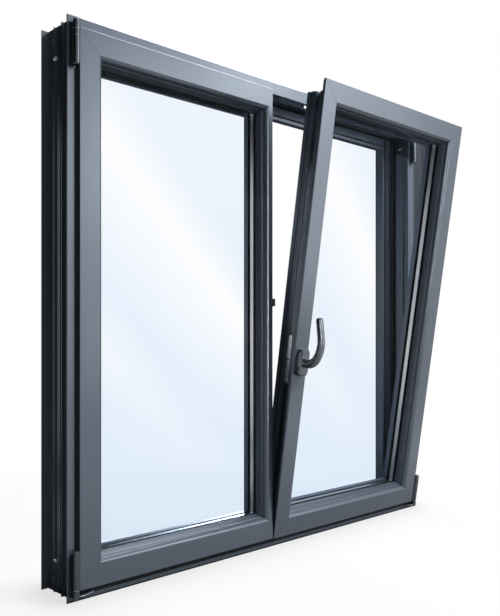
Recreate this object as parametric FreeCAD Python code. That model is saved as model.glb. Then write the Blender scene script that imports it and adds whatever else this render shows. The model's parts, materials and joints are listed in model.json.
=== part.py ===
import FreeCAD, Part
import math
import os

V = FreeCAD.Vector

# Whole window, millimetres
overall_width = 1200.0
overall_height = 1175.0
frame_depth = 111.0
underside_below_origin = 30.0
frame_show = 22.5
sash_proud = 11.0
turn_sash_width = 546.5
sash_gap = 4.0
tilt_angle = 8.8
seat_gap = 0.3
edge_break = 0.8
closeness = 0.01

# Frame profile: reach inward from the flange edge, depth outward from the room face
flange_thickness = 2.5
frame_face = 30.0
face_lip = 3.0
frame_wall = 17.5
rebate_wall = 27.5
stop_tip = 65.0
stop_front = 69.0
stop_back = 90.0
outer_reach = 46.0
stop_slot = (53.0, 57.0)
stop_slot_deep = 3.0
stop_seal_neck = 1.5
stop_seal_height = 3.5
outer_flange_edge = 2.0
hardware_groove = (8.0, 20.0)
hardware_groove_deep = 4.0
break_zone = (46.0, 60.0)
break_deep = 3.0
strip_recess = 1.0
centre_seal_reach = 8.5
centre_seal_foot = (61.0, 67.0)
centre_seal_tip = (57.0, 59.0)
room_rib = (42.0, 45.0)
room_rib_height = 6.0
wall_rib = (77.0, 80.0)
wall_rib_height = 4.0
fixing_radius = 4.5
counterbore_radius = 6.5
fixing_from_end = 64.0

# Sash profile: reach inward from the wing edge, depth outward from the room face
sash_face = 47.0
meeting_face = 14.0
wing_width = 22.0
wing_thickness = 6.0
sash_depth = 76.0
lip_reach = 15.0
lip_thickness = 14.0
rod_groove = (34.0, 46.0)
rod_groove_deep = 6.0
edge_rib = (55.5, 59.5)
edge_rib_height = 1.0
break_groove = (61.0, 64.5)
break_groove_deep = 4.0
seal_slot = (2.0, 8.0)
seal_slot_deep = 3.0
seal_neck = 1.0
seal_tip_width = 2.0

# Glazing: reach inward from the face edge, depth from the sash face
bead_start = 0.6
bead_nose = 15.0
bead_nose_reach = 8.5
bead_bulge = 0.65
bead_ledge = 1.0
bead_back = 31.0
bead_edge = 1.0
bead_reach = 15.5
pane = 4.0
glass_front = 34.0
glass_unit_depth = 24.0
glass_edge = 3.0
spacer_width = 8.0
seal_width = 5.0
trim_gap = 0.4

# Meeting post and keepers
post_reach = 18.0
post_web = 6.0
post_front = 20.0
post_lip = 4.0
post_cap_length = 8.0
keeper_level = 594.0
keeper_height = 19.0
keeper_deep = 7.0
keeper_proud = 4.0
head_keeper_from_edge = 134.0
head_keeper_length = 34.0
head_keeper_proud = 10.0

# Hinges
barrel_radius = 7.0
barrel_offset = 8.0
barrel_depth = 0.5
barrel_cone = 2.5
stem_width = 8.0
lug_thickness = 5.0
lug_inset = 2.0
leaf_thickness = 2.6
leaf_edge = 3.5
leaf_round = 6.0
leaf_beyond = 5.0
leaf_short = 4.0
top_hinge_above = 12.0
top_knuckle = 19.0
middle_knuckle = 14.0
top_hinge_length = 90.0
bottom_barrel_start = 4.0
bottom_barrel_length = 78.0
barrel_cap = 7.0
knob_length = 19.0
knob_cone = 4.0
plate_above = 76.0
plate_below = 2.0
plate_cut = 7.0
plate_slot = (-9.0, 15.0)
plate_slot_edge = (6.5, 8.5)
arm_length = 38.0
arm_above = 5.0
arm_inset = 3.0
arm_root = 2.0
arm_bow = 2.4
arm_tip = (4.0, 6.0)

# Stay of the tilt sash
stay_bearing_below = 88.0
stay_reach = 285.0
stay_guide_length = 120.0
stay_guide_play = 1.0
stay_pin_play = 0.9
stay_width = 13.0
stay_thickness = 3.0
stay_pin_radius = 3.0
fold_thickness = 3.0
fold_depth = 42.0
fold_above = 14.0
fold_cut = 18.0

# Handle and lock
handle_height = 452.0
rosette_width = 32.0
rosette_height = 65.0
rosette_thickness = 16.0
rosette_corner = 9.0
rosette_bevel = 3.0
faceplate_length = 122.0
faceplate_thickness = 2.0
rod_recess = 1.0
rod_from_end = 60.0

# Lever: round collar, two bends as radius and turn, straight grip and rounded tip
collar_radius = 12.6
neck_half_width = 12.0
neck_half_thick = 11.8
neck_length = 24.0
bend_radius = (31.0, 70.0)
bend_turn = (60.0, 45.0)
bend_steps = 4
grip_length = 42.0
grip_half_width = 10.0
grip_half_thick = 8.0
tip_length = (0.0, 4.0, 6.5)
tip_share = (1.0, 0.92, 0.7)

# Derived positions
left_x = -overall_width / 2
right_x = overall_width / 2
bottom_z = -underside_below_origin
top_z = bottom_z + overall_height
frame_y = -frame_depth
sash_y = frame_y - sash_proud
sash_bottom = bottom_z + frame_show
sash_top = top_z - frame_show
turn_left = left_x + frame_show
turn_right = turn_left + turn_sash_width
tilt_left = turn_right + sash_gap
tilt_right = right_x - frame_show
tilt_placement = FreeCAD.Placement(
    V(0, 0, 0), FreeCAD.Rotation(V(1, 0, 0), tilt_angle), V(0, frame_y, sash_bottom)
)
frame_rect = (left_x, right_x, bottom_z, top_z)
turn_rect = (turn_left, turn_right, sash_bottom, sash_top)
tilt_rect = (tilt_left, tilt_right, sash_bottom, sash_top)

pieces = {}


def keep(node, *shapes, tilted=False):
    """File solids under a node, leaned with the tilt sash where asked."""
    for shape in shapes:
        placed = shape.copy()
        if tilted:
            placed.Placement = tilt_placement.multiply(placed.Placement)
        pieces.setdefault(node, []).extend(placed.Solids)


def face_from(points):
    """Flat face through corners; a pair of points is an arc through the first to the second."""
    edges = []
    start = points[0]
    for entry in points[1:]:
        if isinstance(entry, tuple):
            edges.append(Part.Arc(start, entry[0], entry[1]).toShape())
            start = entry[1]
        else:
            edges.append(Part.LineSegment(start, entry).toShape())
            start = entry
    if (start - points[0]).Length > closeness:
        edges.append(Part.LineSegment(start, points[0]).toShape())
    return Part.Face(Part.Wire(edges))


def profile_map(side, rect, y, along):
    """Function that puts a profile corner (reach, depth) on one side of a rectangle."""
    x0, x1, z0, z1 = rect
    return {
        "left": lambda n, d: V(x0 + n, y + d, along),
        "right": lambda n, d: V(x1 - n, y + d, along),
        "bottom": lambda n, d: V(along, y + d, z0 + n),
        "top": lambda n, d: V(along, y + d, z1 - n),
    }[side]


def bar(profile, side, rect, y, start, end):
    """Straight bar of a profile along one side of a rectangle."""
    at = profile_map(side, rect, y, start)
    corners = []
    for entry in profile:
        if isinstance(entry[0], tuple):
            corners.append((at(*entry[0]), at(*entry[1])))
        else:
            corners.append(at(*entry))
    way = V(0, 0, end - start) if side in ("left", "right") else V(end - start, 0, 0)
    return face_from(corners).extrude(way)


def block(x0, x1, y0, y1, z0, z1):
    return Part.makeBox(x1 - x0, y1 - y0, z1 - z0, V(x0, y0, z0))


def upright(radius, x, y, z0, z1):
    return Part.makeCylinder(radius, z1 - z0, V(x, y, z0))


def ring(rect, outer, inner, y0, y1):
    """Rectangular ring between two offsets inward from a rectangle."""
    x0, x1, z0, z1 = rect
    whole = block(x0 + outer, x1 - outer, y0, y1, z0 + outer, z1 - outer)
    hole = block(x0 + inner, x1 - inner, y0, y1, z0 + inner, z1 - inner)
    return whole.cut(hole)


def groove(wall, zone, deep, outward):
    """Corners of a groove in a wall, walked outward from or back to the room."""
    start, end = zone
    corners = [(wall, start), (wall + deep, start), (wall + deep, end), (wall, end)]
    return corners if outward else corners[::-1]


def mitre_prisms(rect, left, right, rail, reach, gap):
    """Prisms that divide a sash at its corner joints, with a gap left at the stiles."""
    x0, x1, z0, z1 = rect
    near_x, far_x = x0 + left + reach, x1 - right - reach
    near_z, far_z = z0 + rail + reach, z1 - rail - reach
    low_end, high_end = z0 + rail - right, z1 - rail + right
    low_in, high_in = near_z + gap, far_z - gap
    outlines = {
        "left": [(x0, z0 + gap), (near_x, low_in), (near_x, high_in), (x0, z1 - gap)],
        "right": [(x1, low_end + gap), (x1, high_end - gap), (far_x, high_in), (far_x, low_in)],
        "bottom": [(x0, z0), (near_x, near_z), (far_x, near_z), (x1, low_end)],
        "top": [(x0, z1), (near_x, far_z), (far_x, far_z), (x1, high_end)],
    }
    if right < rail:
        outlines["bottom"].append((x1, z0))
        outlines["top"].append((x1, z1))
    prisms = {}
    for side, outline in outlines.items():
        corners = [V(x, sash_y - sash_depth, z) for x, z in outline]
        prisms[side] = face_from(corners).extrude(V(0, 3 * sash_depth, 0))
    return prisms


# Frame: jambs run through, head and sill are coped between them
frame_inside = [
    (0, edge_break),
    (edge_break, 0),
    (frame_face - edge_break, 0),
    (frame_face, edge_break),
    (frame_face, face_lip),
    (rebate_wall, face_lip),
    *groove(rebate_wall, hardware_groove, -hardware_groove_deep, True),
    *groove(rebate_wall, break_zone, -break_deep, True),
    (rebate_wall, stop_front),
]
frame_stop = [
    (stop_slot[0], stop_front),
    (stop_slot[0], stop_front + stop_slot_deep),
    (stop_slot[1], stop_front + stop_slot_deep),
    (stop_slot[1], stop_front),
]
frame_outside = [
    (stop_tip, stop_front),
    (stop_tip, stop_back),
    (outer_reach, stop_back),
    (outer_reach, frame_depth),
    (outer_flange_edge, frame_depth),
    (outer_flange_edge, frame_depth - flange_thickness),
    (frame_wall, frame_depth - flange_thickness),
]
frame_back = [(frame_wall, flange_thickness), (0, flange_thickness)]
frame_ribs = [
    *groove(frame_wall, wall_rib, -wall_rib_height, False),
    *groove(frame_wall, break_zone, break_deep, False),
    *groove(frame_wall, room_rib, -room_rib_height, False),
]
frame_profile = frame_inside + frame_stop + frame_outside + frame_ribs + frame_back
cope_profile = [
    (0, 0),
    (frame_face, 0),
    (frame_face, face_lip),
    (rebate_wall, face_lip),
    (rebate_wall, stop_front),
    *frame_outside,
    *frame_back,
]
outer_strip = [
    (frame_wall + strip_recess, break_zone[0]),
    (frame_wall + break_deep, break_zone[0]),
    (frame_wall + break_deep, break_zone[1]),
    (frame_wall + strip_recess, break_zone[1]),
]
inner_strip = [
    (rebate_wall - break_deep, break_zone[0]),
    (rebate_wall - strip_recess, break_zone[0]),
    (rebate_wall - strip_recess, break_zone[1]),
    (rebate_wall - break_deep, break_zone[1]),
]
centre_seal = [
    (rebate_wall, centre_seal_foot[0]),
    (rebate_wall + centre_seal_reach, centre_seal_tip[0]),
    (rebate_wall + centre_seal_reach, centre_seal_tip[1]),
    (rebate_wall, centre_seal_foot[1]),
]
stop_seal = [
    (stop_slot[0], stop_front + stop_slot_deep),
    (stop_slot[1], stop_front + stop_slot_deep),
    (stop_slot[1], stop_front - stop_seal_neck),
    (sum(stop_slot) / 2 + seal_tip_width / 2, stop_front - stop_seal_height),
    (sum(stop_slot) / 2 - seal_tip_width / 2, stop_front - stop_seal_height),
    (stop_slot[0], stop_front - stop_seal_neck),
]
copes = [bar(cope_profile, side, frame_rect, frame_y, bottom_z, top_z) for side in ("left", "right")]


def frame_bar(profile, side):
    """Frame bar on one side, jambs full height and cross bars coped to them."""
    if side in ("left", "right"):
        return bar(profile, side, frame_rect, frame_y, bottom_z, top_z)
    whole = bar(profile, side, frame_rect, frame_y, left_x + frame_wall, right_x - frame_wall)
    return whole.cut(copes)


def fixing_tools(side):
    """Counterbored fixing holes through a jamb at the depth of its wall rib."""
    edge, way = (left_x, 1) if side == "left" else (right_x, -1)
    y = frame_y + sum(wall_rib) / 2
    tools = []
    for z in (bottom_z + fixing_from_end, top_z - fixing_from_end):
        tools.append(Part.makeCylinder(fixing_radius, 2 * stop_tip, V(edge, y, z), V(way, 0, 0)))
        tools.append(Part.makeCylinder(counterbore_radius, frame_wall, V(edge, y, z), V(way, 0, 0)))
    return tools


frame_nodes = {"left": "left_jamb", "right": "right_jamb", "top": "head", "bottom": "sill"}
seal_corner = rebate_wall + centre_seal_reach + seat_gap
frame_seals = {
    "frame_centre_seal": (centre_seal, rebate_wall, seal_corner),
    "frame_stop_seal": (stop_seal, seal_corner, stop_tip),
}
for side, node in frame_nodes.items():
    jamb = side in ("left", "right")
    member = frame_bar(frame_profile, side)
    if jamb:
        member = member.cut(fixing_tools(side))
    keep(node, member)
    keep("frame_thermal_strips", frame_bar(outer_strip, side), frame_bar(inner_strip, side))
    for seal_node, (profile, jamb_inset, cross_inset) in frame_seals.items():
        start, end = (bottom_z + jamb_inset, top_z - jamb_inset)
        if not jamb:
            start, end = (left_x + cross_inset, right_x - cross_inset)
        keep(seal_node, bar(profile, side, frame_rect, frame_y, start, end))

# Sash: wing over the frame, rod groove, rib and thermal break at the side, glazing rebate and outside lip
sash_front = [
    (0, edge_break),
    (edge_break, 0),
    (sash_face - edge_break, 0),
    (sash_face, edge_break),
]
sash_lip = [
    (sash_face, sash_depth - lip_thickness),
    (sash_face + lip_reach, sash_depth - lip_thickness),
    (sash_face + lip_reach, sash_depth),
]
sash_edge = [
    (wing_width, sash_depth),
    *groove(wing_width, break_groove, break_groove_deep, False),
    *groove(wing_width, edge_rib, -edge_rib_height, False),
    *groove(wing_width, rod_groove, rod_groove_deep, False),
    (wing_width, wing_thickness),
    (seal_slot[1], wing_thickness),
    (seal_slot[1], wing_thickness - seal_slot_deep),
    (seal_slot[0], wing_thickness - seal_slot_deep),
    (seal_slot[0], wing_thickness),
    (0, wing_thickness),
]
sash_profile = sash_front + sash_lip + sash_edge
meeting_profile = [
    (0, edge_break),
    (edge_break, 0),
    (meeting_face - edge_break, 0),
    (meeting_face, edge_break),
    (meeting_face, sash_depth - lip_thickness),
    (meeting_face + lip_reach, sash_depth - lip_thickness),
    (meeting_face + lip_reach, sash_depth),
    (0, sash_depth),
]
wing_seal = [
    (seal_slot[0], wing_thickness - seal_slot_deep),
    (seal_slot[1], wing_thickness - seal_slot_deep),
    (seal_slot[1], wing_thickness + seal_neck),
    (sum(seal_slot) / 2 + seal_tip_width / 2, sash_proud - seat_gap),
    (sum(seal_slot) / 2 - seal_tip_width / 2, sash_proud - seat_gap),
    (seal_slot[0], wing_thickness + seal_neck),
]
bead_profile = [
    (0, bead_start),
    ((bead_bulge * bead_nose_reach, (1 - bead_bulge) * bead_nose), (bead_nose_reach, bead_nose)),
    (bead_nose_reach + bead_ledge, bead_nose + bead_ledge / 2),
    (bead_reach, bead_back - bead_edge),
    (bead_reach, bead_back),
    (0, bead_back),
]
sash_strip = [
    (wing_width + strip_recess, break_groove[0]),
    (wing_width + break_groove_deep, break_groove[0]),
    (wing_width + break_groove_deep, break_groove[1]),
    (wing_width + strip_recess, break_groove[1]),
]
rod_profile = [
    (wing_width + rod_recess, rod_groove[0] + seat_gap),
    (wing_width + rod_groove_deep, rod_groove[0] + seat_gap),
    (wing_width + rod_groove_deep, rod_groove[1] - seat_gap),
    (wing_width + rod_recess, rod_groove[1] - seat_gap),
]


def shifted(profile, offset):
    """Profile moved inward by an offset."""
    moved = []
    for entry in profile:
        if isinstance(entry[0], tuple):
            moved.append(tuple((n + offset, d) for n, d in entry))
        else:
            moved.append((entry[0] + offset, entry[1]))
    return moved


def make_sash(name, rect, stiles, right_face, tilted):
    """Bars, beads, seals, panes and spacer of one sash."""
    prisms = mitre_prisms(rect, sash_face, right_face, sash_face, 2 * lip_reach, 0)
    trim_prisms = mitre_prisms(rect, sash_face, right_face, sash_face, 2 * lip_reach, trim_gap)
    x0, x1, z0, z1 = rect
    bars = {"left": stiles[0], "right": stiles[1], "top": "top_rail", "bottom": "bottom_rail"}
    for side, node in bars.items():
        start, end = (z0, z1) if side in ("left", "right") else (x0, x1)
        face = right_face if side == "right" else sash_face
        narrow = face < sash_face
        profile = meeting_profile if narrow else sash_profile
        member = bar(profile, side, rect, sash_y, start, end).common(prisms[side])
        bead = bar(shifted(bead_profile, face), side, rect, sash_y, start, end).common(trim_prisms[side])
        keep(name + "_" + node, member, tilted=tilted)
        keep(name + "_beads", bead, tilted=tilted)
        if not narrow:
            seal = bar(wing_seal, side, rect, sash_y, start, end).common(trim_prisms[side])
            keep(name + "_wing_seal", seal, tilted=tilted)
            strip = bar(sash_strip, side, rect, sash_y, start, end).common(trim_prisms[side])
            keep("sash_thermal_strips", strip, tilted=tilted)
    inner = (x0 + sash_face, x1 - right_face, z0 + sash_face, z1 - sash_face)
    front = sash_y + glass_front
    back = front + glass_unit_depth
    for node, y in (("_inner_pane", front), ("_outer_pane", back - pane)):
        sheet = block(
            inner[0] + glass_edge, inner[1] - glass_edge, y, y + pane,
            inner[2] + glass_edge, inner[3] - glass_edge,
        )
        keep(name + node, sheet, tilted=tilted)
    spacer = ring(inner, bead_reach - spacer_width, bead_reach, front + pane, back - pane)
    inner_seal = ring(inner, bead_reach - seal_width, bead_reach, sash_y + bead_back, front)
    outer_seal = ring(inner, lip_reach - seal_width, lip_reach, back, sash_y + sash_depth - lip_thickness)
    keep(name + "_spacer", spacer, tilted=tilted)
    keep(name + "_glazing_seals", inner_seal, outer_seal, tilted=tilted)


make_sash("turn_sash", turn_rect, ("hinge_stile", "meeting_stile"), meeting_face, False)
make_sash("tilt_sash", tilt_rect, ("lock_stile", "hinge_stile"), sash_face, True)

# Meeting post carried by the turn sash, behind the wing of the tilt sash
post_profile = [
    (0, post_front),
    (-post_reach, post_front),
    (-post_reach, post_front + post_lip),
    (-post_web, post_front + post_lip),
    (-post_web, sash_depth - post_lip),
    (-post_reach, sash_depth - post_lip),
    (-post_reach, sash_depth),
    (0, sash_depth),
]
post_cap = [(0, post_front), (-post_reach, post_front), (-post_reach, sash_depth), (0, sash_depth)]
post_start = sash_bottom + wing_width + post_cap_length
post_end = sash_top - wing_width - post_cap_length
keep("meeting_post", bar(post_profile, "right", turn_rect, sash_y, post_start, post_end))
for cap_start in (post_start - post_cap_length, post_end):
    cap = bar(post_cap, "right", turn_rect, sash_y, cap_start, cap_start + post_cap_length)
    keep("meeting_post_caps", cap)
keeper_z = sash_bottom + keeper_level
keep(
    "meeting_post_keeper",
    block(
        turn_right + post_web, turn_right + post_reach + keeper_proud,
        sash_y + post_front - keeper_deep, sash_y + post_front,
        keeper_z - keeper_height / 2, keeper_z + keeper_height / 2,
    ),
)

# Keepers in the hardware groove of the head and sill
keeper_x = tilt_left + head_keeper_from_edge
keeper_profile = [
    (rebate_wall - hardware_groove_deep, hardware_groove[0] + seat_gap),
    (rebate_wall + head_keeper_proud, hardware_groove[0] + seat_gap),
    (rebate_wall + head_keeper_proud, hardware_groove[1] - seat_gap),
    (rebate_wall - hardware_groove_deep, hardware_groove[1] - seat_gap),
]
for side in ("top", "bottom"):
    keeper = bar(keeper_profile, side, frame_rect, frame_y, keeper_x, keeper_x + head_keeper_length)
    keep("frame_keepers", keeper)

# Hinges of the turn sash, to the left of its wing
hinge_y = sash_y + barrel_depth
left_barrel_x = turn_left - barrel_offset
right_barrel_x = tilt_right + barrel_offset


def barrel(x, z0, z1, low_cone, high_cone):
    """Upright hinge barrel with coned ends."""
    half_profile = [
        (0, z0),
        (barrel_radius - low_cone, z0),
        (barrel_radius, z0 + low_cone),
        (barrel_radius, z1 - high_cone),
        (barrel_radius - high_cone, z1),
        (0, z1),
    ]
    face = face_from([V(x + radius, hinge_y, z) for radius, z in half_profile])
    return face.revolve(V(x, hinge_y, 0), V(0, 0, 1), 360)


def leaf(edge, way, barrel_x, z0, z1):
    """Leaf plate on the room face of the frame, its lower end rounded."""
    near, far = edge + way * leaf_edge, barrel_x + way * barrel_radius / 2
    plate = block(min(near, far), max(near, far), frame_y - leaf_thickness, frame_y, z0, z1)
    flat = leaf_thickness / 2
    low_ends = [e for e in plate.Edges if e.BoundBox.YLength > flat and e.BoundBox.ZMax < z0 + flat]
    return plate.makeFillet(leaf_round, low_ends)


def lug(barrel_x, wing_x, z0, z1):
    """Lug from a hinge barrel to the edge of a sash wing."""
    inset = (wing_thickness - lug_thickness) / 2
    x0, x1 = min(barrel_x, wing_x), max(barrel_x, wing_x)
    return block(x0, x1, sash_y + inset, sash_y + inset + lug_thickness, z0, z1)


def stem(barrel_x, z0, z1):
    """Web from a frame knuckle back to its leaf."""
    half = stem_width / 2
    return block(barrel_x - half, barrel_x + half, hinge_y, frame_y - leaf_thickness / 2, z0, z1)


def bottom_barrel(barrel_x, wing_x):
    """Long capped barrel on the sash wing at the bottom corner."""
    z0 = sash_bottom + bottom_barrel_start
    z1 = z0 + bottom_barrel_length
    cap_z = z1 - barrel_cap
    body = barrel(barrel_x, z0, cap_z, edge_break, edge_break)
    cap = barrel(barrel_x, cap_z, z1, edge_break, barrel_cone)
    return body.fuse([cap, lug(barrel_x, wing_x, z0 + lug_inset, cap_z - lug_inset)])


def bottom_bracket(edge, way, barrel_x, pin_top, plate_top):
    """Bracket on the frame below a bottom barrel, with an arm under the sash."""
    z0 = pin_top - knob_length
    knob = barrel(barrel_x, z0, pin_top, knob_cone, edge_break)
    near, far = edge + way * leaf_edge, barrel_x + way * barrel_radius / 2
    plate_outline = [
        (near, z0 + leaf_short),
        (far, z0 + leaf_short),
        (far, plate_top),
        (near + way * plate_cut, plate_top),
        (near, plate_top - plate_cut),
    ]
    plate = face_from([V(x, frame_y, z) for x, z in plate_outline]).extrude(V(0, -leaf_thickness, 0))
    arm_y = hinge_y - barrel_radius + arm_inset
    arm_low = z0 + arm_above
    arm_end = barrel_x + way * arm_length
    bow = V((barrel_x + arm_end) / 2, arm_y, arm_low + arm_bow)
    arm_outline = [
        V(barrel_x, arm_y, arm_low),
        V(barrel_x, arm_y, arm_low + arm_root),
        (bow, V(arm_end, arm_y, arm_low + arm_tip[1])),
        V(arm_end, arm_y, arm_low + arm_tip[0]),
        V(barrel_x + way * 2 * barrel_radius, arm_y, arm_low),
    ]
    arm = face_from(arm_outline).extrude(V(0, frame_y - arm_y, 0))
    return knob.fuse([plate, arm, stem(barrel_x, z0 + knob_length / 3, pin_top)])


top_hinge_z = sash_top + top_hinge_above
middle_top = top_hinge_z - top_knuckle
middle_bottom = middle_top - middle_knuckle
hinge_low = top_hinge_z - top_hinge_length
frame_leaf = leaf(left_x, 1, left_barrel_x, hinge_low - leaf_beyond, top_hinge_z - leaf_short)
frame_leaf = frame_leaf.fuse([
    barrel(left_barrel_x, middle_top + seat_gap, top_hinge_z, edge_break, edge_break),
    barrel(left_barrel_x, hinge_low, middle_bottom - seat_gap, barrel_cone, edge_break),
    stem(left_barrel_x, middle_top + seat_gap, top_hinge_z - top_hinge_above / 2),
    stem(left_barrel_x, hinge_low + barrel_cone, middle_bottom - seat_gap),
])
keep("top_hinge_frame_leaf", frame_leaf)
sash_knuckle = barrel(left_barrel_x, middle_bottom, middle_top, edge_break, edge_break)
sash_knuckle = sash_knuckle.fuse(lug(left_barrel_x, turn_left, middle_bottom, middle_top))
keep("top_hinge_sash_knuckle", sash_knuckle)

keep("bottom_hinge_sash_barrel", bottom_barrel(left_barrel_x, turn_left))
pin_top = sash_bottom + bottom_barrel_start - seat_gap
bracket = bottom_bracket(left_x, 1, left_barrel_x, pin_top, sash_bottom + plate_above)
slot_low, slot_high = [sash_bottom + level for level in plate_slot]
slot_near, slot_far = [left_x + reach for reach in plate_slot_edge]
slot = block(slot_near, slot_far, frame_y - leaf_thickness, frame_y, slot_low, slot_high)
keep("bottom_hinge_frame_bracket", bracket.cut(slot))

# Corner hinge of the tilt sash, its barrel leaning with the sash
keep("corner_hinge_sash_barrel", bottom_barrel(right_barrel_x, tilt_right), tilted=True)
lean = math.radians(tilt_angle)
barrel_foot = tilt_placement.multVec(V(right_barrel_x, hinge_y, sash_bottom + bottom_barrel_start))
corner_top = barrel_foot.z - barrel_radius * math.sin(lean) - seat_gap
corner_plate_top = sash_bottom - plate_below
keep(
    "corner_hinge_frame_bracket",
    bottom_bracket(right_x, -1, right_barrel_x, corner_top, corner_plate_top),
)

# Stay that holds the tilt sash at the top, drawn in the closed pose and leaned with it
bearing_z = sash_top - stay_bearing_below
stay_level = sash_top - wing_width + stay_thickness
guide_x = right_barrel_x - stay_reach
guide = block(
    guide_x - stay_guide_length / 2, guide_x + stay_guide_length / 2,
    sash_y + rod_groove[0] + stay_guide_play, sash_y + rod_groove[1] - stay_guide_play,
    sash_top - wing_width - rod_groove_deep, stay_level,
)
eye_rise = (stay_level - sash_bottom) * math.sin(lean)
eye_y = frame_y + (hinge_y - frame_y + eye_rise) / math.cos(lean)
arm_start = V(right_barrel_x, eye_y, stay_level)
arm_end = V(guide_x, sash_y + sum(rod_groove) / 2, stay_level)
run = (arm_end - arm_start).normalize()
half_arm = stay_width / 2
across = V(-run.y, run.x, 0) * half_arm
arm_face = face_from([
    arm_start + across,
    arm_end + across,
    (arm_end + run * half_arm, arm_end - across),
    arm_start - across,
    (arm_start - run * half_arm, arm_start + across),
])
eye_hole = Part.makeCylinder(stay_pin_radius + stay_pin_play, 2 * stay_thickness, arm_start)
keep("stay_arm", arm_face.extrude(V(0, 0, stay_thickness)).cut(eye_hole), tilted=True)
keep("stay_guide", guide, tilted=True)
eye_level = tilt_placement.multVec(arm_start).z
bearing_top = eye_level - half_arm * math.sin(lean) - seat_gap
bearing = leaf(right_x, -1, right_barrel_x, bearing_z - leaf_beyond, bearing_top - lug_inset)
fold_x = right_x - frame_face
fold_low = bearing_z + fold_above
fold_outline = [
    (frame_y - leaf_thickness, fold_low),
    (frame_y, fold_low),
    (frame_y + fold_depth, fold_low + fold_cut),
    (frame_y + fold_depth, bearing_top - lug_inset),
    (frame_y - leaf_thickness, bearing_top - lug_inset),
]
fold = face_from([V(fold_x, y, z) for y, z in fold_outline]).extrude(V(-fold_thickness, 0, 0))
strap = block(
    fold_x - fold_thickness, right_barrel_x, frame_y - leaf_thickness, frame_y, fold_low, bearing_top - lug_inset
)
bearing = bearing.fuse([
    fold,
    strap,
    barrel(right_barrel_x, bearing_z, bearing_top, barrel_cone, edge_break),
    stem(right_barrel_x, bearing_z + barrel_cone, bearing_top - lug_inset),
    upright(stay_pin_radius, right_barrel_x, hinge_y, bearing_top, eye_level + 2 * stay_thickness),
])
keep("stay_bearing", bearing)

# Lock faceplate and drive rod in the rod groove of the lock stile
handle_x = tilt_left + sash_face / 2
handle_z = sash_bottom + handle_height
plate_low = handle_z - faceplate_length / 2
plate_high = handle_z + faceplate_length / 2
plate_wall = tilt_left + wing_width
faceplate = block(
    plate_wall + rod_recess - faceplate_thickness, plate_wall + rod_recess,
    sash_y + rod_groove[0] + seat_gap, sash_y + rod_groove[1] - seat_gap, plate_low, plate_high,
)
plate_ends = [e for e in faceplate.Edges if e.BoundBox.XLength > faceplate_thickness / 2]
faceplate = faceplate.makeFillet((rod_groove[1] - rod_groove[0]) / 2 - 2 * seat_gap, plate_ends)
keep("lock_faceplate", faceplate, tilted=True)
rod_start, rod_end = sash_bottom + rod_from_end, sash_top - rod_from_end
keep("drive_rod", bar(rod_profile, "left", tilt_rect, sash_y, rod_start, rod_end), tilted=True)


# Handle on the lock stile, lever pointing up
def handle_point(forward, up, across=0.0):
    return V(handle_x + across, sash_y - forward, handle_z + up)


half_w, half_h = rosette_width / 2, rosette_height / 2
corner = rosette_corner
outline = [
    (-half_w, -half_h + corner), (-half_w + corner / 2, -half_h), (half_w - corner / 2, -half_h),
    (half_w, -half_h + corner), (half_w, half_h - corner), (half_w - corner / 2, half_h),
    (-half_w + corner / 2, half_h), (-half_w, half_h - corner),
]
rosette = face_from([handle_point(0, z, x) for x, z in outline]).extrude(V(0, -rosette_thickness, 0))
front_edges = [e for e in rosette.Edges if abs(e.BoundBox.YMax - (sash_y - rosette_thickness)) < closeness]
rosette = rosette.makeChamfer(rosette_bevel, front_edges)
keep("handle_rosette", rosette, tilted=True)


def lever_section(forward, up, heading, half_width, half_thick):
    """Ellipse across the lever at one point of its centre line."""
    centre = handle_point(forward, up)
    side = V(half_width, 0, 0)
    outward = V(0, math.sin(heading), math.cos(heading)) * half_thick
    return Part.Wire(Part.Ellipse(centre + side, centre + outward, centre).toShape())


forward, up, heading = neck_length, 0.0, 0.0
centre_line = [(forward, up, heading)]
for radius, turn in zip(bend_radius, bend_turn):
    for step in range(bend_steps):
        turned = heading + math.radians(turn) / bend_steps
        forward += radius * (math.sin(turned) - math.sin(heading))
        up += radius * (math.cos(heading) - math.cos(turned))
        heading = turned
        centre_line.append((forward, up, heading))
sections = []
for index, (f, u, h) in enumerate(centre_line):
    taper = index / (len(centre_line) - 1)
    half_width = neck_half_width + taper * (grip_half_width - neck_half_width)
    half_thick = neck_half_thick + taper * (grip_half_thick - neck_half_thick)
    sections.append(lever_section(f, u, h, half_width, half_thick))
for beyond, share in zip(tip_length, tip_share):
    run = grip_length + beyond
    f, u = forward + run * math.cos(heading), up + run * math.sin(heading)
    sections.append(lever_section(f, u, heading, share * grip_half_width, share * grip_half_thick))
lever = Part.makeLoft(sections, True, True)
collar_start = rosette_thickness + seat_gap
collar_foot = handle_point(collar_start, 0)
collar = Part.makeCylinder(collar_radius, neck_length - collar_start, collar_foot, V(0, -1, 0))
lever = lever.fuse(collar)
keep("handle_lever", lever, tilted=True)

os.makedirs("parts", exist_ok=True)
for node, solids in pieces.items():
    shape = solids[0] if len(solids) == 1 else Part.makeCompound(solids)
    shape.exportStep("parts/" + node + ".step")
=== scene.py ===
import bpy
import bmesh
import json
import math
from mathutils import Matrix, Vector


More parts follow.
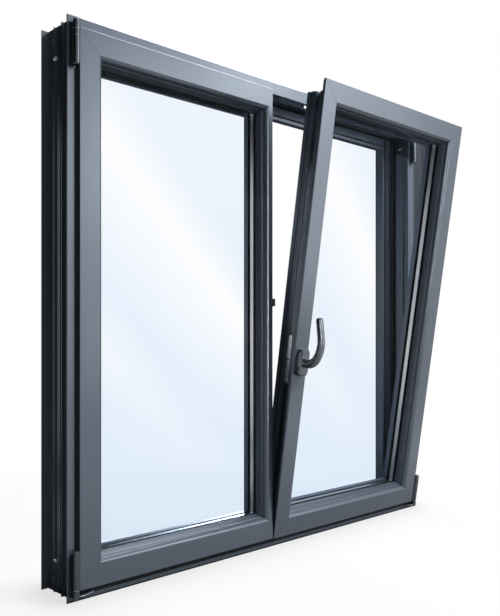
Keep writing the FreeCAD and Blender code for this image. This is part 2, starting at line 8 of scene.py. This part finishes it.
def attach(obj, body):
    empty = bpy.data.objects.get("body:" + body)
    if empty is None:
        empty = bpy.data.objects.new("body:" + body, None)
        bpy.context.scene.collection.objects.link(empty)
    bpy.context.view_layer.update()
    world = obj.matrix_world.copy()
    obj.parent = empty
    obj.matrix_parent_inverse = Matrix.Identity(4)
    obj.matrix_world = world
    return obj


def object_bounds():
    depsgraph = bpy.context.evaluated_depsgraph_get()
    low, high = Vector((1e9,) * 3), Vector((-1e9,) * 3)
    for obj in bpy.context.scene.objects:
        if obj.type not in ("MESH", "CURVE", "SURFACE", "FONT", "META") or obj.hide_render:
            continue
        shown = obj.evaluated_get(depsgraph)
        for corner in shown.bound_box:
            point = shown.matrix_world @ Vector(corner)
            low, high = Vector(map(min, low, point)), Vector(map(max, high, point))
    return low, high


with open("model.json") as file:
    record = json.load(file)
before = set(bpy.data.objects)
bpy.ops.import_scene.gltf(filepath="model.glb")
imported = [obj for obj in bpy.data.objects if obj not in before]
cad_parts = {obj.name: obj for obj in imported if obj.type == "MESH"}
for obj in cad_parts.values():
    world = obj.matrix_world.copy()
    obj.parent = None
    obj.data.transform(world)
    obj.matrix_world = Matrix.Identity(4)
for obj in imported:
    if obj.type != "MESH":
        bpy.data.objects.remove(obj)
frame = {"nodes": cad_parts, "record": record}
cad_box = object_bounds()
nodes = frame["nodes"]
scene = bpy.context.scene
scene.view_settings.view_transform = "Standard"

# Photograph: frame in pixels, camera worked out from the edges of the sashes
PHOTO_LONG_SIDE = 616
FOCAL_PIXELS = 733.0
HORIZON_BELOW_CENTRE = 24.6
SENSOR = 36.0
CAMERA_PLACE = (-1.3366, -1.4213, 0.5100)
CAMERA_TURN = math.radians(-43.36)

# Window, metres: frame and sash edges, and the sash that leans about the bottom of the frame's room face
FRAME_HALF = 0.6
FRAME_LOW, FRAME_HIGH = -0.03, 1.145
ROOM_FACE_Y = -0.111
SASH_LOW, SASH_HIGH = -0.0075, 1.1225
SASH_PROUD = 0.011
SASH_FACE = 0.047
MEETING_FACE = 0.014
TURN_LEFT, TURN_RIGHT = -0.5775, -0.031
TILT_LEFT, TILT_RIGHT = -0.027, 0.5775
LEAN = math.radians(8.8)
HANDLE_LEVEL = 0.452
SASH_SPACING = TILT_LEFT - TURN_LEFT
TILT = Matrix.Translation((0, ROOM_FACE_Y, SASH_LOW)) @ Matrix.Rotation(LEAN, 4, "X")
UPRIGHT = Matrix.Translation((0, ROOM_FACE_Y, SASH_LOW))

# Finishes: cool tint of reflections, gloss of lacquer, fine skin of coats, and the angle of a real edge
GLOSS_TINT = (0.76, 0.86, 1.0, 1.0)
LACQUER_ROUGHNESS = 0.1
SKIN_SCALE, SKIN_DEPTH = 2600.0, 0.00004
SKIN_STRENGTH, SKIN_UNDER_LACQUER = 0.02, 0.017
GLASS_INDEX = 1.04
SHARP_ANGLE = math.radians(28)
WELD_DISTANCE = 0.00001

# Light: the room's bright side, and a bright patch behind the window for the lower spacer bars
BRIGHT_SIDE = (0.62, -0.55, 0.56)
REAR_PATCH, REAR_PATCH_GAIN = (0.618, 0.745, 0.248), 180.0


# Materials
def shader(name):
    """New material with its node tree, its Principled shader and its output."""
    material = bpy.data.materials.new(name)
    material.use_nodes = True
    tree = material.node_tree
    tree.nodes.clear()
    output = tree.nodes.new("ShaderNodeOutputMaterial")
    surface = tree.nodes.new("ShaderNodeBsdfPrincipled")
    tree.links.new(surface.outputs["BSDF"], output.inputs["Surface"])
    return material, tree, surface, output


def noise(tree, scale, detail=3.0, stretch=(1, 1, 1)):
    """Noise in metres of the shared frame, stretched along an axis for brushed metal."""
    place = tree.nodes.new("ShaderNodeTexCoord")
    mapping = tree.nodes.new("ShaderNodeMapping")
    mapping.inputs["Scale"].default_value = stretch
    texture = tree.nodes.new("ShaderNodeTexNoise")
    texture.inputs["Scale"].default_value = scale
    texture.inputs["Detail"].default_value = detail
    tree.links.new(place.outputs["Object"], mapping.inputs["Vector"])
    tree.links.new(mapping.outputs["Vector"], texture.inputs["Vector"])
    return texture.outputs["Fac"]


def grey(level):
    """Grey as a colour."""
    return (level, level, level)


def ramp(tree, value, stops):
    """Colour ramp over a value."""
    node = tree.nodes.new("ShaderNodeValToRGB")
    elements = node.color_ramp.elements
    while len(elements) < len(stops):
        elements.new(0.5)
    for element, (place, colour) in zip(elements, stops):
        element.position = place
        element.color = (*colour, 1.0)
    tree.links.new(value, node.inputs["Fac"])
    return node.outputs["Color"]


def maths(tree, operation, first, second):
    """Result of a maths node on a socket and a socket or number."""
    node = tree.nodes.new("ShaderNodeMath")
    node.operation = operation
    tree.links.new(first, node.inputs[0])
    if isinstance(second, float):
        node.inputs[1].default_value = second
    else:
        tree.links.new(second, node.inputs[1])
    return node.outputs["Value"]


def grain(tree, surface, scale, distance, strength, stretch=(1, 1, 1)):
    """Fine bump on a surface."""
    bump = tree.nodes.new("ShaderNodeBump")
    bump.inputs["Distance"].default_value = distance
    bump.inputs["Strength"].default_value = strength
    tree.links.new(noise(tree, scale, 2.0, stretch), bump.inputs["Height"])
    tree.links.new(bump.outputs["Normal"], surface.inputs["Normal"])


def coat(name, dark, light, rough, mottle, metal=0.0, shine=0.8, lacquer=0.0, stretch=(1, 1, 1)):
    """Coated, plated or moulded surface with a mottled colour, uneven gloss and a fine skin."""
    material, tree, surface, _ = shader(name)
    low, high = rough
    colour = ramp(tree, noise(tree, mottle, 4.0, stretch), [(0.3, dark), (0.7, light)])
    gloss = ramp(tree, noise(tree, mottle * 3, 3.0, stretch), [(0.3, grey(low)), (0.7, grey(high))])
    tree.links.new(colour, surface.inputs["Base Color"])
    tree.links.new(gloss, surface.inputs["Roughness"])
    surface.inputs["Metallic"].default_value = metal
    surface.inputs["Specular IOR Level"].default_value = shine
    surface.inputs["Specular Tint"].default_value = GLOSS_TINT
    surface.inputs["Coat Weight"].default_value = lacquer
    surface.inputs["Coat Roughness"].default_value = LACQUER_ROUGHNESS
    grain(tree, surface, SKIN_SCALE, SKIN_DEPTH, SKIN_STRENGTH - SKIN_UNDER_LACQUER * lacquer, stretch)
    return material


def pane_glass(name, shift):
    """Clear glass with a pale blue tint, painted paler towards the top, and a painted soft slanting sheen
    across the pane.
    """
    material, tree, surface, output = shader(name)
    place = tree.nodes.new("ShaderNodeTexCoord")
    split = tree.nodes.new("ShaderNodeSeparateXYZ")
    tree.links.new(place.outputs["Object"], split.inputs["Vector"])
    slant = maths(tree, "ADD", split.outputs["X"], split.outputs["Z"])
    span = tree.nodes.new("ShaderNodeMapRange")
    span.inputs["From Min"].default_value = shift - 0.6
    span.inputs["From Max"].default_value = shift + 1.0
    tree.links.new(slant, span.inputs["Value"])
    none, faint, full = grey(0.0), grey(0.55), grey(1.0)
    # Painted sheen: slanting bands where the pane turns near white, faded out low on the pane.
    sheen = ramp(tree, span.outputs["Result"], [
        (0.08, none), (0.25, none), (0.36, faint), (0.45, none), (0.56, faint), (0.655, full), (0.75, none),
    ])
    fade = ramp(tree, split.outputs["Z"], [(0.12, none), (0.5, full)])
    # Painted light and shade: the blue tint is deeper at the bottom of the pane and paler towards the top.
    height = ramp(tree, split.outputs["Z"], [(0.0, (0.855, 0.913, 0.977)), (1.0, (0.924, 0.953, 0.986))])
    tint_and_painted_sheen = tree.nodes.new("ShaderNodeMix")
    tint_and_painted_sheen.data_type = "RGBA"
    tint_and_painted_sheen.inputs["B"].default_value = (0.99, 0.993, 1.0, 1.0)
    tree.links.new(maths(tree, "MULTIPLY", sheen, fade), tint_and_painted_sheen.inputs["Factor"])
    tree.links.new(height, tint_and_painted_sheen.inputs["A"])
    tree.links.new(tint_and_painted_sheen.outputs["Result"], surface.inputs["Base Color"])
    surface.inputs["Transmission Weight"].default_value = 1.0
    surface.inputs["Roughness"].default_value = 0.0
    surface.inputs["IOR"].default_value = GLASS_INDEX
    clear = tree.nodes.new("ShaderNodeBsdfTransparent")
    path = tree.nodes.new("ShaderNodeLightPath")
    through = tree.nodes.new("ShaderNodeMixShader")
    tree.links.new(path.outputs["Is Shadow Ray"], through.inputs["Fac"])
    tree.links.new(surface.outputs["BSDF"], through.inputs[1])
    tree.links.new(clear.outputs["BSDF"], through.inputs[2])
    tree.links.new(through.outputs["Shader"], output.inputs["Surface"])
    return material


finishes = {
    "powder_coat": coat(
        "powder_coat", (0.086, 0.107, 0.138), (0.091, 0.113, 0.145), (0.25, 0.26), mottle=25.0
    ),
    "seal_rubber": coat(
        "seal_rubber", (0.006, 0.006, 0.007), (0.011, 0.011, 0.012), (0.6, 0.75), mottle=90.0, shine=0.2
    ),
    "spacer_aluminium": coat(
        "spacer_aluminium", (0.54, 0.55, 0.56), (0.62, 0.63, 0.64), (0.2, 0.26),
        mottle=40.0, metal=1.0, stretch=(0.05, 1, 0.05),
    ),
    "break_plastic": coat(
        "break_plastic", (0.008, 0.008, 0.009), (0.014, 0.014, 0.015), (0.5, 0.65), mottle=80.0, shine=0.2
    ),
    "hardware_coat": coat(
        "hardware_coat", (0.04, 0.049, 0.064), (0.047, 0.057, 0.073), (0.13, 0.15),
        mottle=60.0, metal=0.3, shine=1.0, lacquer=0.3,
    ),
    "handle_coat": coat(
        "handle_coat", (0.06, 0.069, 0.085), (0.067, 0.077, 0.094), (0.24, 0.26),
        mottle=40.0, metal=0.5, shine=1.0, lacquer=0.8,
    ),
    "black_plastic": coat(
        "black_plastic", (0.007, 0.007, 0.008), (0.012, 0.012, 0.013), (0.4, 0.55), mottle=110.0
    ),
    "zinc_steel": coat(
        "zinc_steel", (0.68, 0.69, 0.71), (0.78, 0.79, 0.81), (0.26, 0.29),
        mottle=30.0, metal=1.0, stretch=(1, 1, 0.1),
    ),
}
glass_turn = pane_glass("glass_turn_sash", 0.0)
glass_tilt = pane_glass("glass_tilt_sash", SASH_SPACING)


def smooth_group():
    """Modifier tree that joins the facets of the solids and keeps only real edges sharp."""
    group = bpy.data.node_groups.new("smooth_solids", "GeometryNodeTree")
    group.interface.new_socket("Geometry", in_out="INPUT", socket_type="NodeSocketGeometry")
    group.interface.new_socket("Geometry", in_out="OUTPUT", socket_type="NodeSocketGeometry")
    source = group.nodes.new("NodeGroupInput")
    merge = group.nodes.new("GeometryNodeMergeByDistance")
    merge.inputs["Distance"].default_value = WELD_DISTANCE
    soft = group.nodes.new("GeometryNodeSetShadeSmooth")
    angle = group.nodes.new("GeometryNodeInputMeshEdgeAngle")
    steep = group.nodes.new("FunctionNodeCompare")
    steep.data_type = "FLOAT"
    steep.operation = "GREATER_THAN"
    steep.inputs["B"].default_value = SHARP_ANGLE
    hard = group.nodes.new("GeometryNodeSetShadeSmooth")
    hard.domain = "EDGE"
    hard.inputs["Shade Smooth"].default_value = False
    result = group.nodes.new("NodeGroupOutput")
    link = group.links.new
    link(source.outputs["Geometry"], merge.inputs["Geometry"])
    link(merge.outputs["Geometry"], soft.inputs["Geometry"])
    link(soft.outputs["Geometry"], hard.inputs["Geometry"])
    link(angle.outputs["Unsigned Angle"], steep.inputs["A"])
    link(steep.outputs["Result"], hard.inputs["Selection"])
    link(hard.outputs["Geometry"], result.inputs["Geometry"])
    return group


smooth = smooth_group()
slots = {part["node"]: part["material_slot"] for part in frame["record"]["subparts"]}
for name, node in nodes.items():
    material = finishes.get(slots[name])
    if material is None:
        material = glass_turn if name.startswith("turn_sash") else glass_tilt
    node.data.materials.clear()
    node.data.materials.append(material)
    node.modifiers.new("smooth", "NODES").node_group = smooth


# Details that stay off the solids: screws, rivets, washers, sealant, joint lines and caps, strips of painted
# shade and of painted highlight
def add_piece(name, mesh_build, slot, body="window"):
    """Piece from a bmesh, in the finish of a record slot, carried by a body."""
    mesh = bpy.data.meshes.new(name)
    bmesh.ops.recalc_face_normals(mesh_build, faces=mesh_build.faces)
    mesh_build.to_mesh(mesh)
    mesh_build.free()
    mesh.materials.append(finishes[slot])
    item = bpy.data.objects.new(name, mesh)
    scene.collection.objects.link(item)
    item.modifiers.new("smooth", "NODES").node_group = smooth
    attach(item, body)


def turned(mesh_build, profile, place, sides=28, hex_from=None):
    """Surface of revolution about a local z axis; rings from a given one on are hexagonal."""
    rings = []
    for index, (radius, height) in enumerate(profile):
        ring = []
        for step in range(sides):
            angle = 2 * math.pi * step / sides
            reach = radius
            if hex_from is not None and index >= hex_from:
                reach = radius / math.cos((angle % (math.pi / 3)) - math.pi / 6)
            corner = Vector((reach * math.cos(angle), reach * math.sin(angle), height))
            ring.append(mesh_build.verts.new(place @ corner))
        rings.append(ring)
    for low, high in zip(rings, rings[1:]):
        for step in range(sides):
            after = (step + 1) % sides
            mesh_build.faces.new((low[step], low[after], high[after], high[step]))
    mesh_build.faces.new(rings[0][::-1])
    mesh_build.faces.new(rings[-1])


def slab(mesh_build, low, high, place):
    """Box between two corners, set in place."""
    corners = [
        mesh_build.verts.new(place @ Vector((x, y, z)))
        for x in (low[0], high[0]) for y in (low[1], high[1]) for z in (low[2], high[2])
    ]
    for face in ((0, 1, 3, 2), (4, 6, 7, 5), (0, 4, 5, 1), (2, 3, 7, 6), (0, 2, 6, 4), (1, 5, 7, 3)):
        mesh_build.faces.new([corners[index] for index in face])


def facing(way, point):
    """Placement with its z axis along a direction."""
    return Matrix.Translation(point) @ Vector(way).to_track_quat("Z", "Y").to_matrix().to_4x4()


def screw_head(radius, height):
    """Profile of a pan head screw with a hexagonal socket."""
    socket = 0.4 * radius
    return [
        (radius, 0.0), (radius, 0.35 * height), (0.9 * radius, 0.75 * height), (0.6 * radius, height),
        (socket, height), (socket, 0.45 * height), (0.3 * socket, 0.4 * height),
    ], 4


def frame_screws():
    """Screws in the counterbored fixing holes and rivets near the ends of both jambs."""
    wall = 0.0175
    fixing_y, fixing_from_end = -0.0325, 0.064
    rivet_y, rivet_from_end, rivet_pitch = -0.0255, 0.0225, 0.006
    head_radius, head_height = 0.0056, 0.0032
    dome = [(0.0019, 0.0), (0.0019, 0.0006), (0.0015, 0.0012), (0.0006, 0.0016)]
    screws, rivets = bmesh.new(), bmesh.new()
    for way in (-1, 1):
        x = way * (FRAME_HALF - wall)
        for end, inward in ((FRAME_LOW, 1), (FRAME_HIGH, -1)):
            place = facing((way, 0, 0), (x, fixing_y, end + inward * fixing_from_end))
            profile, socket = screw_head(head_radius, head_height)
            turned(screws, profile, place, hex_from=socket)
            for pitch in (0, rivet_pitch):
                z = end + inward * (rivet_from_end + pitch)
                turned(rivets, dome, facing((way, 0, 0), (x, rivet_y, z)), sides=16)
    add_piece("frame_screws", screws, "zinc_steel")
    add_piece("jamb_rivets", rivets, "zinc_steel")


def lock_details():
    """Screws on the lock faceplate of the tilt sash, and a black square of painted shade for its follower
    hole.
    """
    face_x, depth = -0.006, 0.029
    end_from_middle, follower = 0.050, 0.003
    head_radius, head_height = 0.0034, 0.0006
    screws, hole = bmesh.new(), bmesh.new()
    for offset in (-end_from_middle, end_from_middle):
        profile, socket = screw_head(head_radius, head_height)
        place = TILT @ facing((-1, 0, 0), (face_x, depth, HANDLE_LEVEL + offset))
        turned(screws, profile, place, hex_from=socket)
    # Painted shade: a black square just proud of the faceplate stands for the dark follower hole.
    well = [(follower * 1.2, 0.0), (follower * 1.2, 0.0003), (follower, 0.0004)]
    turned(hole, well, TILT @ facing((-1, 0, 0), (face_x, depth, HANDLE_LEVEL)), sides=4)
    add_piece("faceplate_screws", screws, "zinc_steel")
    add_piece("faceplate_follower_shade", hole, "black_plastic")


def hinge_washers():
    """Bright washers at the knuckle joints of the left hinges and screws on the stay bearing."""
    barrel_x, barrel_y = TURN_LEFT - 0.008, ROOM_FACE_Y - 0.0105
    barrel_top = SASH_HIGH + 0.012
    joints = (SASH_LOW + 0.00385, barrel_top - 0.019, barrel_top - 0.033)
    washer = [(0.0066, -0.0003), (0.0071, -0.0002), (0.0071, 0.0002), (0.0066, 0.0003)]
    rings, screws = bmesh.new(), bmesh.new()
    for z in joints:
        turned(rings, washer, Matrix.Translation((barrel_x, barrel_y, z)))
    fold_x, screw_z, screw_rows = FRAME_HALF - 0.033, 1.079, (-0.082, -0.090)
    head_radius, head_height = 0.0024, 0.0012
    for y in screw_rows:
        profile, socket = screw_head(head_radius, head_height)
        turned(screws, profile, facing((-1, 0, 0), (fold_x, y, screw_z)), sides=18, hex_from=socket)
    add_piece("hinge_washers", rings, "zinc_steel")
    add_piece("stay_bearing_screws", screws, "zinc_steel")


def hinge_arm_highlights():
    """Painted highlights: thin bright zinc strips on the front of the bowed arms that lead from both bottom
    hinges under the sashes.
    """
    path = ((0.5783, -0.0167), (0.5700, -0.0165), (0.5620, -0.0157), (0.5551, -0.0146), (0.5480, -0.0130))
    y, thick, taper, sides = -0.1256, 0.0006, 0.15, 10
    right_drop = 0.0027
    build = bmesh.new()
    for way, drop in ((-1, 0.0), (1, right_drop)):
        rings = []
        for index, (x, z) in enumerate(path):
            reach = thick * (1.0 - taper * index)
            angles = [2 * math.pi * step / sides for step in range(sides)]
            rings.append([
                build.verts.new((way * x, y + reach * math.cos(angle), z - drop + reach * math.sin(angle)))
                for angle in angles
            ])
        for low, high in zip(rings, rings[1:]):
            for step in range(sides):
                after = (step + 1) % sides
                build.faces.new((low[step], low[after], high[after], high[step]))
        build.faces.new(rings[0][::-1])
        build.faces.new(rings[-1])
    add_piece("bottom_hinge_arm_highlights", build, "zinc_steel")


def sealant(name, place, left, right, right_face):
    """Black sealant along both edges of the spacer bar, seen through the panes."""
    reach, lip, thick = 0.0155, 0.0021, 0.0003
    near, far = 0.038 - SASH_PROUD, 0.054 - SASH_PROUD
    x0, x1 = left + SASH_FACE + reach, right - right_face - reach
    z0, z1 = SASH_FACE + reach, SASH_HIGH - SASH_LOW - SASH_FACE - reach
    build = bmesh.new()
    for y0, y1 in ((near, near + lip), (far - lip, far)):
        slab(build, (x0, y0, z0), (x0 + thick, y1, z1), place)
        slab(build, (x1 - thick, y0, z0), (x1, y1, z1), place)
        slab(build, (x0 + thick, y0, z0), (x1 - thick, y1, z0 + thick), place)
        slab(build, (x0 + thick, y0, z1 - thick), (x1 - thick, y1, z1), place)
    add_piece(name, build, "seal_rubber")


def painted_shade_strips():
    """Painted shade on the frame: black strips just proud of its room face for the shadow below the sashes
    and beside the closed one, and along its foot.
    """
    proud, below, beside, foot = 0.0003, 0.012, 0.006, 0.0028
    build = bmesh.new()
    bars = (
        (TURN_LEFT - beside, TILT_RIGHT, SASH_LOW - below, SASH_LOW),
        (TURN_LEFT - beside, TURN_LEFT, SASH_LOW, SASH_HIGH),
        (-FRAME_HALF, FRAME_HALF, FRAME_LOW, FRAME_LOW + foot),
    )
    for x0, x1, z0, z1 in bars:
        slab(build, (x0, ROOM_FACE_Y - proud, z0), (x1, ROOM_FACE_Y, z1), Matrix.Identity(4))
    add_piece("painted_shade_strips", build, "seal_rubber")


def mitre_lines():
    """Hairlines where the bars of the sashes meet at the corners of the room face."""
    half_line, proud, sunk, edge = 0.0002, 0.00005, 0.0002, 0.001
    tall = SASH_HIGH - SASH_LOW
    build = bmesh.new()
    corners = [(UPRIGHT, TURN_LEFT, 1), (TILT, TILT_LEFT, 1), (TILT, TILT_RIGHT, -1)]
    for place, x, inward in corners:
        for z, rise in ((0, 1), (tall, -1)):
            turn = Matrix.Rotation(-math.atan2(rise, inward), 4, "Y")
            along = place @ Matrix.Translation((x, -SASH_PROUD, z)) @ turn
            low = (edge * math.sqrt(2), -proud, -half_line)
            high = ((SASH_FACE - edge) * math.sqrt(2), sunk, half_line)
            slab(build, low, high, along)
    add_piece("mitre_lines", build, "break_plastic")


def lever_cap():
    """Dark plug in the end of the lever."""
    neck, bends, grip = 0.024, ((0.031, 60.0), (0.070, 45.0)), 0.0485
    half_width, half_thick, share = 0.010, 0.008, 0.68
    forward, up, heading = neck, 0.0, 0.0
    for radius, turn in bends:
        turned_to = heading + math.radians(turn)
        forward += radius * (math.sin(turned_to) - math.sin(heading))
        up += radius * (math.cos(heading) - math.cos(turned_to))
        heading = turned_to
    forward += grip * math.cos(heading)
    up += grip * math.sin(heading)
    tip = (TILT_LEFT + SASH_FACE / 2, -SASH_PROUD - forward, HANDLE_LEVEL + up)
    way = Vector((0, -math.cos(heading), math.sin(heading)))
    across = Matrix((Vector((1, 0, 0)), way.cross(Vector((1, 0, 0))), way)).transposed().to_4x4()
    size = Matrix.Diagonal((share * half_width, share * half_thick, 1.0, 1.0))
    build = bmesh.new()
    plug = [(0.86, -0.0002), (0.86, 0.0002), (0.7, 0.0003), (0.2, 0.0004)]
    turned(build, plug, TILT @ Matrix.Translation(tip) @ across @ size)
    add_piece("lever_end_plug", build, "black_plastic", "handle")


frame_screws()
lock_details()
hinge_washers()
hinge_arm_highlights()
sealant("turn_sash_sealant", UPRIGHT, TURN_LEFT, TURN_RIGHT, MEETING_FACE)
sealant("tilt_sash_sealant", TILT, TILT_LEFT, TILT_RIGHT, SASH_FACE)
painted_shade_strips()
mitre_lines()
lever_cap()


# Stage: floor, card of painted shade, world, lamps and camera
def seen_directly(tree):
    """One for rays that the camera sends, straight or through nothing but glass."""
    path = tree.nodes.new("ShaderNodeLightPath")
    bounces = maths(tree, "ADD", path.outputs["Glossy Depth"], path.outputs["Diffuse Depth"])
    glass_only = maths(tree, "LESS_THAN", bounces, 0.5)
    through = maths(tree, "MULTIPLY", path.outputs["Is Transmission Ray"], glass_only)
    return maths(tree, "MAXIMUM", path.outputs["Is Camera Ray"], through)


def pale_floor():
    """Floor that stays near white to the camera and keeps the shadow of the window."""
    reach, near, far = 30.0, 0.9, 2.2
    level = cad_box[0].z
    mesh = bpy.data.meshes.new("floor")
    corners = [(-reach, -reach), (reach, -reach), (reach, reach), (-reach, reach)]
    mesh.from_pydata([(x, y, level) for x, y in corners], [], [(0, 1, 2, 3)])
    floor = bpy.data.objects.new("floor", mesh)
    scene.collection.objects.link(floor)
    material, tree, surface, _ = shader("floor")
    surface.inputs["Roughness"].default_value = 0.9
    surface.inputs["Specular IOR Level"].default_value = 0.0
    place = tree.nodes.new("ShaderNodeTexCoord")
    away = tree.nodes.new("ShaderNodeVectorMath")
    away.operation = "LENGTH"
    tree.links.new(place.outputs["Object"], away.inputs[0])
    span = tree.nodes.new("ShaderNodeMapRange")
    span.interpolation_type = "SMOOTHSTEP"
    span.inputs["From Min"].default_value = near
    span.inputs["From Max"].default_value = far
    tree.links.new(away.outputs["Value"], span.inputs["Value"])
    shade = ramp(tree, span.outputs["Result"], [(0.0, grey(0.12)), (1.0, grey(0.0))])
    tree.links.new(shade, surface.inputs["Base Color"])
    split = tree.nodes.new("ShaderNodeSeparateXYZ")
    tree.links.new(place.outputs["Object"], split.inputs["Vector"])
    across, deep = split.outputs["X"], split.outputs["Y"]
    path = tree.nodes.new("ShaderNodeLightPath")
    glow = floor_glow(tree, span.outputs["Result"], across, deep)
    direct = maths(tree, "MULTIPLY", seen_directly(tree), glow)
    # In reflections the floor glows with painted light and shade.
    mirrored = maths(tree, "MULTIPLY", path.outputs["Is Glossy Ray"], floor_painted_reflection(tree, across, deep))
    surface.inputs["Emission Color"].default_value = (1, 1, 1, 1)
    tree.links.new(maths(tree, "MAXIMUM", direct, mirrored), surface.inputs["Emission Strength"])
    mesh.materials.append(material)


def floor_glow(tree, distance, across, deep):
    """Level of the floor to the camera: lower near the window, where lamps also light it, and darkened close
    to its foot by painted shade.
    """
    half_depth = -ROOM_FACE_Y / 2
    glow = ramp(tree, distance, [(0.0, grey(0.85)), (1.0, grey(1.0))])
    # Painted shade: the floor darkens within a few centimetres of the window's footprint.
    beside = maths(tree, "SUBTRACT", maths(tree, "ABSOLUTE", across, 0.0), FRAME_HALF)
    centred = maths(tree, "ADD", deep, half_depth)
    before = maths(tree, "SUBTRACT", maths(tree, "ABSOLUTE", centred, 0.0), half_depth)
    gap = maths(tree, "ADD", maths(tree, "MAXIMUM", beside, 0.0), maths(tree, "MAXIMUM", before, 0.0))
    painted_contact_shade = ramp(tree, gap, [(0.0, grey(0.84)), (0.07, grey(0.965)), (0.16, grey(1.0))])
    return maths(tree, "MULTIPLY", glow, painted_contact_shade)


def floor_painted_reflection(tree, across, deep):
    """Painted glow of the floor, seen only in reflections: dark behind the window, brighter ahead and to the
    right.
    """
    ahead = maths(tree, "MULTIPLY", deep, -1.0)
    front = ramp(tree, ahead, [(0.1, grey(0.0)), (0.14, grey(0.42)), (1.0, grey(1.0))])
    # Painted pool of light in reflections, ahead of the window and to its right.
    corner = maths(tree, "MULTIPLY", maths(tree, "MULTIPLY", ahead, across), 0.6)
    none, some = grey(0.0), grey(0.45)
    right = ramp(tree, corner, [(0.06, none), (0.22, some), (0.42, some), (0.62, none)])
    return maths(tree, "ADD", front, right)


def painted_shade_card():
    """Card of painted shade right of the frame, seen only through the tilted pane, where the photograph
    shows a dark room; it glows faintly in painted vertical streaks.
    """
    x0, x1, z0, z1 = FRAME_HALF + 0.002, FRAME_HALF + 0.16, 0.45, FRAME_HIGH + 0.02
    y = ROOM_FACE_Y + 0.004
    mesh = bpy.data.meshes.new("painted_shade_card")
    corners = [(x0, z0), (x1, z0), (x1, z1), (x0, z1)]
    mesh.from_pydata([(x, y, z) for x, z in corners], [], [(0, 1, 2, 3)])
    card = bpy.data.objects.new("painted_shade_card", mesh)
    scene.collection.objects.link(card)
    card.visible_camera = False
    card.visible_diffuse = False
    card.visible_glossy = False
    card.visible_shadow = False
    material, tree, surface, _ = shader("painted_shade_card")
    surface.inputs["Base Color"].default_value = (0, 0, 0, 1)
    surface.inputs["Specular IOR Level"].default_value = 0.0
    # Painted light: a faint streaky glow on the black card.
    streaks = noise(tree, 24.0, 2.0, (1, 1, 0.06))
    glow = ramp(tree, streaks, [(0.3, (0.05, 0.055, 0.062)), (0.7, (0.13, 0.14, 0.153))])
    tree.links.new(glow, surface.inputs["Emission Color"])
    surface.inputs["Emission Strength"].default_value = 1.0
    mesh.materials.append(material)


def toward(tree, direction):
    """Share of a world direction along a given one."""
    place = tree.nodes.new("ShaderNodeTexCoord")
    along = tree.nodes.new("ShaderNodeVectorMath")
    along.operation = "DOT_PRODUCT"
    along.inputs[1].default_value = Vector(direction).normalized()
    tree.links.new(place.outputs["Generated"], along.inputs[0])
    return along.outputs["Value"]


def studio_world():
    """White to the camera and through glass, a soft room brighter at the upper right for the rest."""
    world = bpy.data.worlds.new("studio")
    scene.world = world
    world.use_nodes = True
    tree = world.node_tree
    tree.nodes.clear()
    output = tree.nodes.new("ShaderNodeOutputWorld")
    span = tree.nodes.new("ShaderNodeMapRange")
    span.inputs["From Min"].default_value = -1.0
    tree.links.new(toward(tree, BRIGHT_SIDE), span.inputs["Value"])
    room = tree.nodes.new("ShaderNodeBackground")
    shade = ramp(tree, span.outputs["Result"], [
        (0.0, grey(0.004)), (0.55, grey(0.008)), (0.78, grey(0.72)), (1.0, grey(1.0)),
    ])
    tree.links.new(shade, room.inputs["Color"])
    patch = ramp(tree, toward(tree, REAR_PATCH), [(0.994, grey(0.0)), (0.998, grey(1.0))])
    gain = maths(tree, "MULTIPLY", patch, REAR_PATCH_GAIN)
    tree.links.new(maths(tree, "ADD", gain, 1.0), room.inputs["Strength"])
    white = tree.nodes.new("ShaderNodeBackground")
    white.inputs["Color"].default_value = (1, 1, 1, 1)
    pick = tree.nodes.new("ShaderNodeMixShader")
    tree.links.new(seen_directly(tree), pick.inputs["Fac"])
    tree.links.new(room.outputs["Background"], pick.inputs[1])
    tree.links.new(white.outputs["Background"], pick.inputs[2])
    tree.links.new(pick.outputs["Shader"], output.inputs["Surface"])


def softbox(name, place, aim, size, power, matt=True, gloss=True, behind_glass=False):
    """Soft lamp aimed at a point, for matt light, for reflections or for both, through glass where asked."""
    lamp = bpy.data.lights.new(name, "AREA")
    lamp.shape = "RECTANGLE"
    lamp.size, lamp.size_y = size
    lamp.energy = power
    holder = bpy.data.objects.new(name, lamp)
    holder.location = place
    holder.rotation_euler = (Vector(aim) - Vector(place)).to_track_quat("-Z", "Y").to_euler()
    holder.visible_camera = False
    holder.visible_transmission = behind_glass
    holder.visible_diffuse = matt
    holder.visible_glossy = gloss
    scene.collection.objects.link(holder)


def photo_camera():
    """Level camera at the photograph's place, with the horizon a little below the middle."""
    lens = bpy.data.cameras.new("camera")
    lens.sensor_width = SENSOR
    lens.lens = FOCAL_PIXELS * SENSOR / PHOTO_LONG_SIDE
    lens.shift_y = HORIZON_BELOW_CENTRE / PHOTO_LONG_SIDE
    camera = bpy.data.objects.new("camera", lens)
    camera.location = CAMERA_PLACE
    camera.rotation_euler = (math.radians(90), 0, CAMERA_TURN)
    scene.collection.objects.link(camera)
    scene.camera = camera


pale_floor()
painted_shade_card()
studio_world()
middle, top_edge = (0.0, -0.12, 0.56), (-0.2, -0.12, 1.12)
softbox("key", (1.118, -1.997, 1.553), middle, (0.98, 0.98), 10.4, matt=False)
softbox("sheen", (1.378, -1.522, 1.936), middle, (0.45, 0.45), 3.6, matt=False)
softbox("fill", (1.370, -2.046, 0.977), middle, (1.58, 1.58), 19.0, matt=False)
softbox("top", (0.91, -1.52, 2.55), middle, (0.8, 0.8), 58.0, gloss=False)
softbox("strip", (-0.82, -2.37, 0.9), middle, (0.1, 1.6), 30.0, matt=False)
softbox("rim", (0.9, 0.6, 2.6), top_edge, (0.9, 0.9), 45.0, matt=False)
softbox("back_left", (-1.63, 1.35, 0.52), middle, (0.8, 1.75), 3.6, matt=False, behind_glass=True)
softbox("back_fill", (0.8, 2.4, 1.7), middle, (1.4, 1.4), 40.0, gloss=False)
photo_camera()
